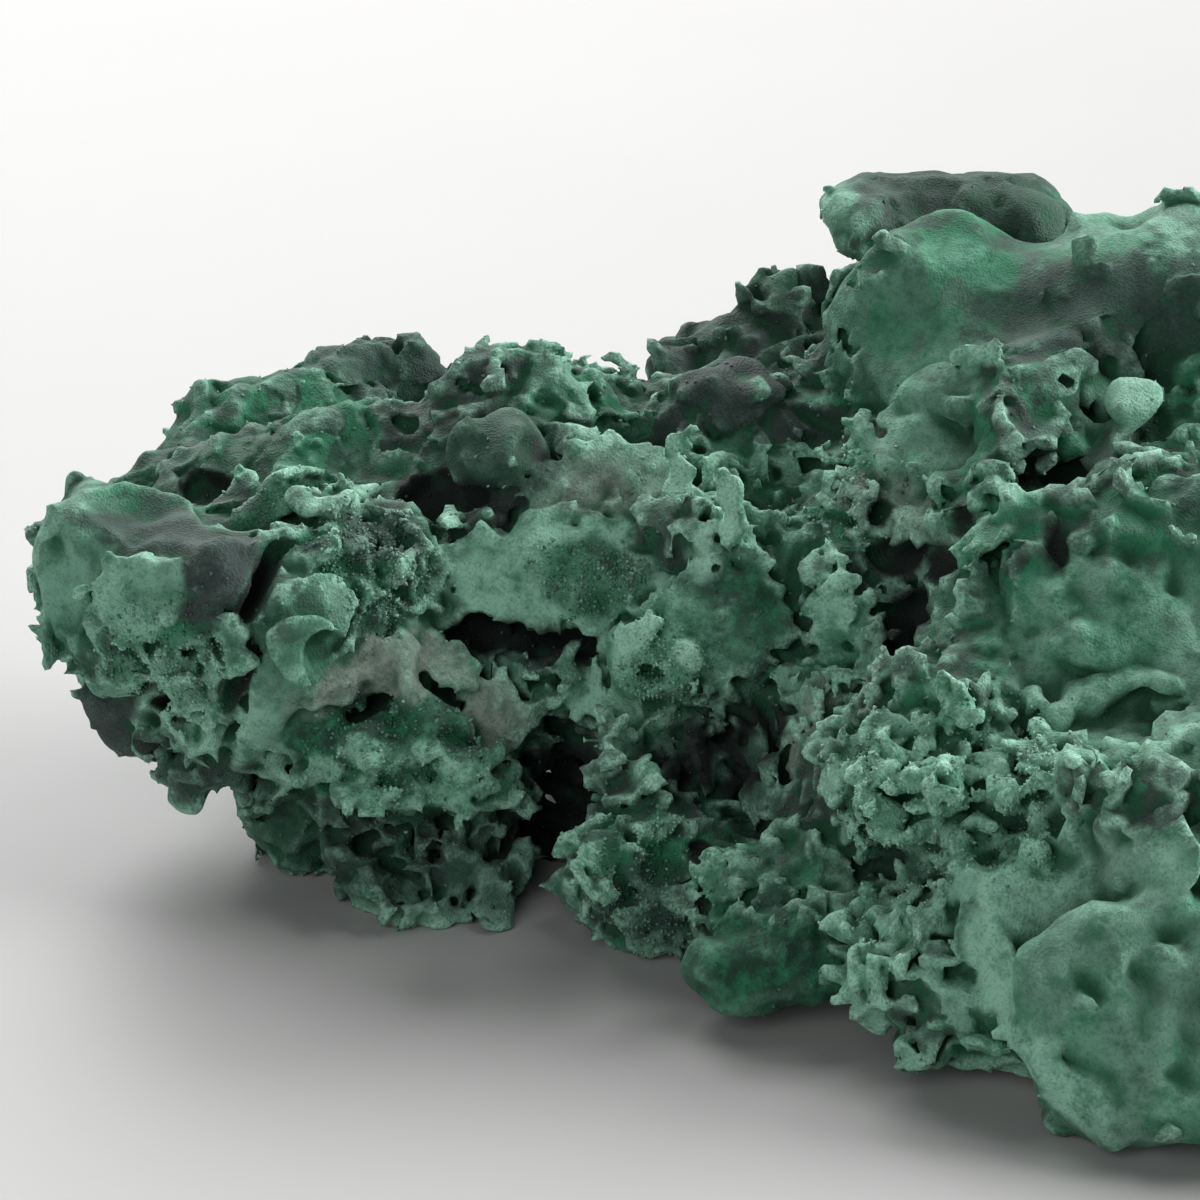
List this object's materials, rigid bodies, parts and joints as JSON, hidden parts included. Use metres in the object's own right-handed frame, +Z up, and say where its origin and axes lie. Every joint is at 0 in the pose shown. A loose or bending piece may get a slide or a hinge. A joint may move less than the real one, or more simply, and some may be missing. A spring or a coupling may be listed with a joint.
{
  "type": "malachite specimen",
  "caption": "Rough free-standing lump of green malachite crust with a low arm over a small foot, a high ridge and a long front slope.",
  "frame": {"origin": "under the middle of the specimen's box, on the surface that it rests on", "axes": "+X from the thin arm to the thick end, +Y from the front slope to the back, +Z up"},
  "size_m": [0.104, 0.078, 0.041],
  "materials": {
    "malachite": "matte velvety crust, pale mint on the edges and charcoal green in the hollows"
  },
  "bodies": {
    "root": {"malachite_specimen": "malachite"}
  },
  "joints": []
}
